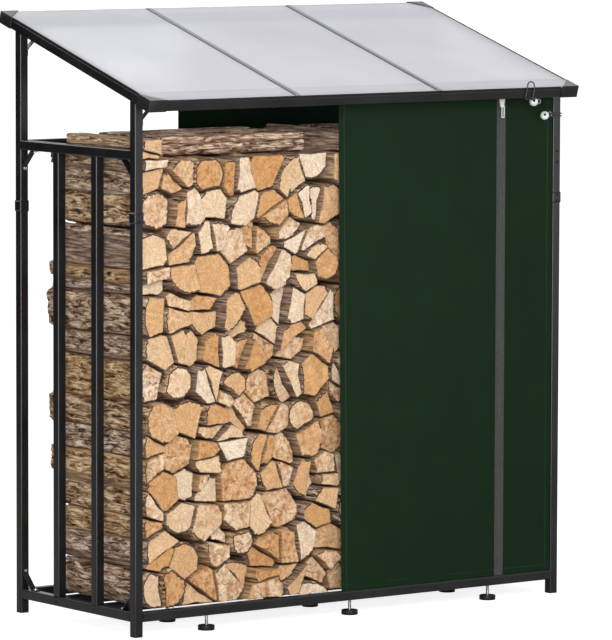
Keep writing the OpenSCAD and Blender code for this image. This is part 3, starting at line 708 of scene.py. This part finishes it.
prisms = {name: loose_prisms(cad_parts[name].data) for name in FIREWOOD_NODES}
NEAR_BY, OWNERS = beside([p for name in FIREWOOD_NODES[:-1] for p in prisms[name]])
numbers = itertools.count()
for name in FIREWOOD_NODES:
    stacks = [remade_log(p, 0) if name == "firewood_cross" else remade_log(p, 1, next(numbers))
              for p in prisms[name]]
    placed, quads, tris, quad_uv, tri_uv, kinds, values = zip(*stacks)
    first = np.cumsum([0] + [len(one) for one in placed])
    quads = np.vstack([one + n for one, n in zip(quads, first)])
    tris = np.vstack([one + n for one, n in zip(tris, first)])
    mesh = bpy.data.meshes.new(name + "_rough")
    mesh.from_pydata(np.vstack(placed), [], quads.tolist() + tris.tolist())
    corner_uv = np.concatenate([one.reshape(-1, 2) for one in quad_uv + tri_uv])
    mesh.uv_layers.new(name="grain").data.foreach_set("uv", corner_uv.astype(np.float32).ravel())
    log_tone = mesh.attributes.new("log_tone", "FLOAT_COLOR", "POINT")
    log_tone.data.foreach_set("color", np.vstack(values).ravel())
    rough = linked(name + "_rough", mesh)
    give(rough, sawn_end, bark_hide, split_face)
    kinds = np.concatenate([*kinds, np.zeros(len(tris), int)])
    mesh.polygons.foreach_set("material_index", kinds.astype(np.int32))
    alone(rough)
    bpy.ops.object.shade_smooth_by_angle(angle=math.radians(42))
    belongs(rough, "split_wood", name)

# Covers: woven polyester with a dark green coating, hung inside the front frame and over the
# back posts. Each is a grid set to its own cut, with soft upright folds and a turned hem that
# stands 0.7 mm proud, and it is then given its thickness. Rows of stitches hold the hems.
HEM, HEM_PROUD, CLOTH, STITCH_PITCH, SEAM_IN = 0.024, 0.0007, 0.0011, 0.0075, 0.004
# Coated polyester: dull and nearly one green, with a faint weave. Threads of 0.5 mm are drawn
# 2 mm apart, so that they show.
cover_cloth, tree, shader, _ = clouded("coated_polyester_green", 0.15, "#0b1e0e", "#0d2210", 3.0,
                                       Roughness=0.62, Specular_IOR_Level=0.06)
weft = add(tree, "SeparateXYZ", {"Vector": add(tree, "TexCoord").outputs["Object"]})
threads = [add(tree, "Math", {0: add(tree, "Math", {0: weft.outputs[k], 1: 2 * math.pi / 0.002},
                                     operation="MULTIPLY")}, operation="SINE")
           for k in ("X", "Z")]
woven = add(tree, "Math", {0: threads[0], 1: threads[1]}, operation="MULTIPLY")
bump = add(tree, "Bump", {"Height": woven, "Strength": 0.15, "Distance": 0.0004})
wire(shader, Normal=bump)
# Sewing thread: a lighter green twist, dull.
thread_green = clouded("sewing_thread_green", 0.002, "#1c3222", "#284030", Roughness=0.7)[0]


def cover(name, left_top, left_foot, right, foot, top, back, out, hems, node):
    """A hung cloth. back is the y of its hidden face, out the side it faces, and hems are the edges
    that are turned."""
    width, height = right - left_top, top - foot
    across = np.linspace(0, 1, round(width / 0.012) + 1)
    upward = np.linspace(0, 1, round(height / 0.02) + 1)
    for edge, lines, span in (("left", across, width), ("right", across, width),
                              ("foot", upward, height), ("top", upward, height)):
        if edge in hems:
            turned, step = HEM / span, 0.0006 / span
            for end in (turned, turned + step) if edge in ("left", "foot") else (
                    1 - turned - step, 1 - turned):
                lines[abs(lines[1:-1] - end).argmin() + 1] = end
    across, upward = np.unique(across), np.unique(upward)
    piece = primitive("grid", name, x_subdivisions=len(across) - 1,
                      y_subdivisions=len(upward) - 1, size=1)
    bpy.ops.object.mode_set(mode="OBJECT")
    u, t = (grid.ravel() for grid in np.meshgrid(across, upward))
    left = left_foot + (left_top - left_foot) * t
    x, z = left + (right - left) * u, foot + height * t
    fade = np.minimum(1, np.minimum(u, 1 - u) * width / 0.07)
    fade = fade * np.minimum(1, (1 - t) * height / 0.25)
    wave = np.sin(x / 0.042 + 0.9 * np.sin(z / 0.37))
    wave = wave + 0.6 * np.sin(x / 0.019 + 1.4 * np.sin(z / 0.29 + 1))
    fold = 0.0008 * (1.6 + wave) * fade
    for edge, far in (("left", u * width), ("right", (1 - u) * width),
                      ("foot", t * height), ("top", (1 - t) * height)):
        if edge in hems:
            fold = fold + HEM_PROUD * (far < HEM + 0.0003)
    y = back + out * (CLOTH + fold)
    piece.data.vertices.foreach_set("co", np.column_stack([x, y, z]).ravel())
    piece.data.update()
    alone(piece)
    bpy.ops.object.mode_set(mode="EDIT")
    bpy.ops.mesh.select_all(action="SELECT")
    bpy.ops.mesh.normals_make_consistent(inside=False)
    if out * piece.data.polygons[0].normal.y < 0:
        bpy.ops.mesh.flip_normals()
    thick = piece.modifiers.new("thickness", "SOLIDIFY")
    thick.thickness, thick.offset = CLOTH, -1
    settle(piece, cover_cloth)
    stitch = primitive("uv_sphere", "stitch", segments=6, ring_count=4, radius=1)
    scaled(0.0006, 0.0005, 0.0026)
    settle(stitch)
    lying = Matrix.Rotation(math.pi / 2, 4, "Y")
    rows = []
    proud = back + out * (CLOTH + HEM_PROUD + 0.0003)
    inward = HEM - SEAM_IN
    for k in range(int(height / STITCH_PITCH)):
        level = foot + SEAM_IN + k * STITCH_PITCH
        edge = left_foot + (left_top - left_foot) * (level - foot) / height
        if "left" in hems:
            rows.append(Matrix.Translation((edge + inward, proud, level)))
        if "right" in hems:
            rows.append(Matrix.Translation((right - inward, proud, level)))
    start = max(left_top, left_foot)
    for k in range(int((right - start) / STITCH_PITCH) - 1):
        at = start + 0.006 + k * STITCH_PITCH
        if "foot" in hems:
            rows.append(Matrix.Translation((at, proud, foot + inward)) @ lying)
        if "top" in hems:
            rows.append(Matrix.Translation((at, proud, top - inward)) @ lying)
    seam = repeated(name + "_stitches", stitch, rows, thread_green)
    belongs(seam, "cover_fabric")
    belongs(piece, "cover_fabric", node)
    return piece


COVER_FOOT, FRONT_TOP, FRONT_BACK = 0.0765, 1.6305, -0.3255
cover("front_cover_hung", -0.059, -0.041, 0.584, COVER_FOOT, FRONT_TOP, FRONT_BACK, -1,
      ("left", "foot", "top"), "front_cover")
cover("back_cover_hung", -0.204, -0.204, 0.83, COVER_FOOT, 1.849, 0.3321, 1,
      ("left", "right", "foot", "top"), "back_cover")
# Eyelets: zinc plated rings, pressed into the edge of the front cover where the toggles
# are. Each is a ring made flatter, with a lip rolled towards the hole.
eyelet = primitive("torus", "eyelet", major_segments=32, minor_segments=10, major_radius=0.0076,
                   minor_radius=0.0017)
scaled(1, 1, 0.7)
settle(eyelet)
eyelets = repeated("cover_eyelets", eyelet, [facing((0.7855, -0.3282, 1.551), (0, -1, 0)),
                                              facing((0.739, -0.3282, 1.594), (0, -1, 0))], zinc)
belongs(eyelets, "zip_metal")
cover("front_cover_edge_hung", 0.590, 0.590, 0.7977, COVER_FOOT, FRONT_TOP, FRONT_BACK, -1,
      ("right", "foot", "top"), "front_cover_edge")

# Zip: a woven tape over the seam between the two front covers, with a row of moulded teeth down
# its middle, a cast slider and a slotted pull. The tape is a strip with raised edges, a tooth
# is modelled once and repeated, and slider and pull are blocks, tapered, slotted and rounded.
ZIP_X, TAPE_BACK, TAPE_WIDE = 0.587, -0.3269, 0.036
TAPE_LONG, TAPE_THICK, TAPE_MIDDLE = 1.554, 0.0009, 0.8535
# Zip tape: woven polyester, dull, with its 0.75 mm ribs drawn 3 mm wide, so that they show.
zip_cloth, tree, shader = finish("woven_zip_tape_grey", Roughness=0.75, Specular_IOR_Level=0.15)
place = add(tree, "TexCoord").outputs["Object"]
fine = add(tree, "Mapping", {"Vector": place, "Scale": (1.0, 1.0, 0.25)})
weave = add(tree, "TexNoise", {"Vector": fine, "Scale": 1 / 0.003, "Detail": 3.0})
tone = add(tree, "ValToRGB", {"Fac": weave}, stops=[(0.3, "#363636"), (0.7, "#474746")])
bump = add(tree, "Bump", {"Height": weave, "Strength": 0.2, "Distance": 0.0004})
wire(shader, Base_Color=tone, Normal=bump)
tape = block("zip_tape_woven", (TAPE_WIDE, TAPE_THICK, TAPE_LONG),
             (ZIP_X, TAPE_BACK - 0.00095, TAPE_MIDDLE))
chosen(tape, lambda face: face.normal.y < -0.9)
bpy.ops.mesh.inset(thickness=0.0035)
bpy.ops.transform.translate(value=(0, 0.0005, 0))
rounded(tape, 0.0002)
settle(tape, zip_cloth)
belongs(tape, "zip_tape", "zip_tape")
# Zip teeth: moulded acetal, dark and slightly glossy.
acetal = clouded("moulded_acetal_grey", 0.02, "#3a3a3b", "#464647", Roughness=0.4)[0]
TOOTH_PITCH, TOOTH_OFF, TOOTH_COUNT, ZIP_FOOT = 0.003, 0.0011, 515, 0.08
tooth = block("tooth", (0.0062, 0.0016, 0.0021))
chosen(tooth, lambda face: face.normal.y < -0.9)
scaled(0.8, 1, 0.6)
rounded(tooth, 0.0003, 1)
settle(tooth)
teeth = [Matrix.Translation((ZIP_X + (TOOTH_OFF if k % 2 else -TOOTH_OFF), TAPE_BACK - 0.0017,
                             ZIP_FOOT + TOOTH_PITCH * k)) for k in range(TOOTH_COUNT)]
belongs(repeated("zip_teeth", tooth, teeth, acetal), "zip_tape")
# Cast zip metal: lacquered white, glossy, with faint clouds in the lacquer.
white_lacquer = clouded("white_lacquered_casting", 0.01, "#f0f2f1", "#fafbfa", Roughness=0.25)[0]
slider = block("zip_slider_cast", (0.0205, 0.005, 0.026), (ZIP_X, -0.3318, 1.5937))
chosen(slider, lambda face: face.normal.z < -0.9)
scaled(0.62, 1, 1)
chosen(slider, lambda face: face.normal.y < -0.9)
bpy.ops.mesh.inset(thickness=0.003)
pushed(0, -0.001, 0)
rounded(slider, 0.0008)
settle(slider, white_lacquer)
belongs(slider, "zip_metal", "zip_slider")
pull = block("zip_pull_cast", (0.0115, 0.0025, 0.04), (ZIP_X, -0.3368, 1.5665))
chosen(pull, lambda face: abs(face.normal.y) > 0.9)
bpy.ops.mesh.inset(thickness=0.0026)
bpy.ops.mesh.delete(type="ONLY_FACE")
bpy.ops.mesh.select_mode(type="EDGE")
bpy.ops.mesh.select_non_manifold()
bpy.ops.mesh.bridge_edge_loops()
rounded(pull, 0.0006)
settle(pull, white_lacquer)
belongs(pull, "zip_metal", "zip_pull")

# Toggles: two plastic balls with a bored hole, each on a round elastic. One elastic goes round
# the right post and hooks on a screw behind it, the other goes over the front edge of the roof.
# A ball is a sphere with its ends pushed in to form the hole, whose faces are painted black as
# the shade inside it, and the elastics are round curves.
BALL_RADIUS, ELASTIC_RADIUS = 0.014, 0.0022
BALL_TURN = (-0.55, -0.8, 0.25)
# Moulded plastic, white with a hint of green: glossy, so that it shows the lamps.
ball_plastic = clouded("glossy_plastic_white", 0.02, "#dfe9e3", "#e8f1ec", Roughness=0.15)[0]
ball = primitive("uv_sphere", "ball", segments=32, ring_count=20, radius=BALL_RADIUS)
for end in (1, -1):
    chosen(ball, lambda face: face.normal.z * end > 0.93)
    pushed(0, 0, -end * 0.008)
    scaled(0.75, 0.75, 1)
rounded(ball, 0.0005)
settle(ball)
# The faces inside the hole get black plastic: painted shade.
bore_shade = [math.hypot(*face.center[:2]) < 0.0053 and abs(face.center.z) < 0.0128
        for face in ball.data.polygons]
places = [facing((0.754, -0.3412, 1.549), BALL_TURN), facing((0.676, -0.3817, 1.5968), BALL_TURN)]
balls = repeated("toggle_balls_bored", ball, places, ball_plastic, black_plastic)
balls.data.polygons.foreach_set("material_index", np.array(bore_shade * 2, np.int32))
belongs(balls, "toggle_ball", "toggle_balls")
# Elastic: black braid over rubber, with a fine twill of 2 mm.
braid = clouded("braided_elastic_black", 0.002, "#0c0c0d", "#1b1b1c", Roughness=0.7)[0]


def elastic(name, points, node):
    """A round elastic along these points, with its corners rounded."""
    points = [Vector(point) for point in points]
    for _ in range(3):
        cut = [points[0]]
        for a, b in zip(points, points[1:]):
            cut += [a.lerp(b, 0.25), a.lerp(b, 0.75)]
        points = cut + [points[-1]]
    curve = bpy.data.curves.new(name, "CURVE")
    curve.dimensions, curve.use_fill_caps = "3D", True
    curve.bevel_depth, curve.bevel_resolution = ELASTIC_RADIUS, 3
    spline = curve.splines.new("POLY")
    spline.points.add(len(points) - 1)
    for knot, point in zip(spline.points, points):
        knot.co = (*point, 1)
    made = linked(name, curve)
    give(made, braid)
    belongs(made, "elastic", node)


# Two strands run round the post's corners, part behind it and meet in an eye round the hook. No
# bend is tighter than two diameters.
BEND, STRAND_OFF = 0.0094, 0.0042
TURN_X, FRONT_TURN_Y, BACK_TURN_Y, HOOK_LEVEL = 0.8243, -0.3243, -0.3057, 1.549
part = math.acos(1 - (BEND - STRAND_OFF) / 2 / BEND)
hook_x = TURN_X - 2 * BEND * math.sin(part)


def bend(u, v, start, stop, count):
    """Points on a bend round a place, between two angles."""
    return [(u + BEND * math.cos(a), v + BEND * math.sin(a))
            for a in np.linspace(start, stop, count)]


strand = [(0.764, -0.336), *bend(TURN_X, FRONT_TURN_Y, -math.pi / 2, 0, 5),
          *bend(TURN_X, BACK_TURN_Y, 0, math.pi / 2, 5)]
parting = bend(TURN_X, STRAND_OFF + BEND, -math.pi / 2, -math.pi / 2 - part, 3)[1]
eye = [parting, *bend(hook_x, 0, math.pi / 2 - part, 1.5 * math.pi + part, 13),
       (parting[0], -parting[1])]
elastic("post_elastic_round", [(x, y, HOOK_LEVEL + STRAND_OFF) for x, y in strand]
        + [(x, BACK_TURN_Y + BEND, HOOK_LEVEL + z) for x, z in eye]
        + [(x, y, HOOK_LEVEL - STRAND_OFF) for x, y in strand[::-1]], "post_elastic")
# The roof's loop stands 38 mm to the left of its ball, and is drawn across under the beam.
arch = [(0.0145, 0.0008, -0.041), (0.0145, 0.0008, -0.02), (0.0145, 0.0012, 0.002),
        (0.0125, 0.005, 0.01), (0.0065, 0.008, 0.0165)]
ARCH_X = 0.638
elastic("roof_elastic_round", [on_roof(0.671, 0.019, -0.046), on_roof(0.645, 0.006, -0.0425)]
        + [on_roof(ARCH_X - u, v, w) for u, v, w in arch]
        + [on_roof(ARCH_X + u, v, w) for u, v, w in arch[::-1]]
        + [on_roof(0.668, 0.006, -0.0425), on_roof(0.679, 0.019, -0.046)], "roof_elastic")
hook = bolt_head("elastic_hook", BEND - ELASTIC_RADIUS, 0.006)
hook_place = facing((hook_x, -inner_y, HOOK_LEVEL), (0, 1, 0))
belongs(repeated("elastic_hook_screw", hook, [hook_place], zinc), "screw_zinc")

# Floor and light: a white floor that runs far out, a white surround and four soft lamps. Two
# wide glows and a black card, seen only in reflections, draw the corners of the steel.
paper, tree, shader = finish("white_paper_floor", Roughness=0.9, Base_Color=linear("#bcbcbc"),
                             Specular_IOR_Level=0.0, Emission_Color=linear("#ffffff"))
ray = add(tree, "LightPath")
seen = add(tree, "Math", {0: ray.outputs["Is Camera Ray"], 1: ray.outputs["Is Transmission Ray"]},
           operation="MAXIMUM")
seen = add(tree, "Math", {0: ray.outputs["Is Glossy Ray"], 1: 0.25, 2: seen},
           operation="MULTIPLY_ADD")
glow = add(tree, "Math", {0: seen, 1: 0.86}, operation="MULTIPLY")
wire(shader, Emission_Strength=glow)
floor = settle(primitive("plane", "floor", size=160), paper)
world = bpy.data.worlds.new("white_surround")
bpy.context.scene.world = world
world.use_nodes = True
tree = world.node_tree
ray = add(tree, "LightPath")
seen = add(tree, "Math", {0: ray.outputs["Is Camera Ray"], 1: ray.outputs["Is Glossy Ray"]},
           operation="MAXIMUM")
seen = add(tree, "Math", {0: seen, 1: ray.outputs["Is Transmission Ray"]}, operation="MAXIMUM")
level = add(tree, "MapRange", {"Value": seen, 3: 0.5, 4: 1.0})
surround = tree.nodes["Background"]
surround.inputs["Color"].default_value = linear("#ffffff")
wire(surround, Strength=level)


def lamp(name, place, aim, size, power):
    """A square soft lamp that the camera doesn't see."""
    made = linked(name, bpy.data.lights.new(name, "AREA"))
    made.data.size, made.data.energy = size, power
    made.location = place
    made.rotation_euler = (Vector(aim) - Vector(place)).to_track_quat("-Z", "Y").to_euler()
    made.visible_camera = False
    return made


lamp("key_lamp", (-2.9, -5.6, 3.4), (0, 0, 0.8), 2.4, 246)
lamp("edge_lamp", (-3.7, -5.0, 1.5), (0, 0, 0.9), 0.7, 45)
lamp("fill_lamp", (4.0, -5.2, 1.6), (0, 0, 0.9), 2.2, 48)
lamp("back_lamp", (-2.0, 4.8, 4.6), (0, 0, 1.0), 3.0, 150)
for glow in (lamp("corner_glow", (-3.0, -4.1, 1.6), (0, 0, 0.9), 6.0, 850),
             lamp("corner_glow_low", (-2.8, -3.5, 0.02), (-2.8, -3.49, 1), 4.6, 500)):
    glow.visible_diffuse = glow.visible_transmission = False
card = primitive("plane", "black_card", size=4, location=(-2.6, 3.5, 1.0),
                 rotation=(math.pi / 2, 0, math.radians(36.6)))
settle(card, finish("black_paper", Roughness=0.9, Base_Color=linear("#101010"))[0])
card.visible_camera = card.visible_diffuse = card.visible_transmission = card.visible_shadow = False
bpy.context.scene.view_settings.view_transform = "Standard"
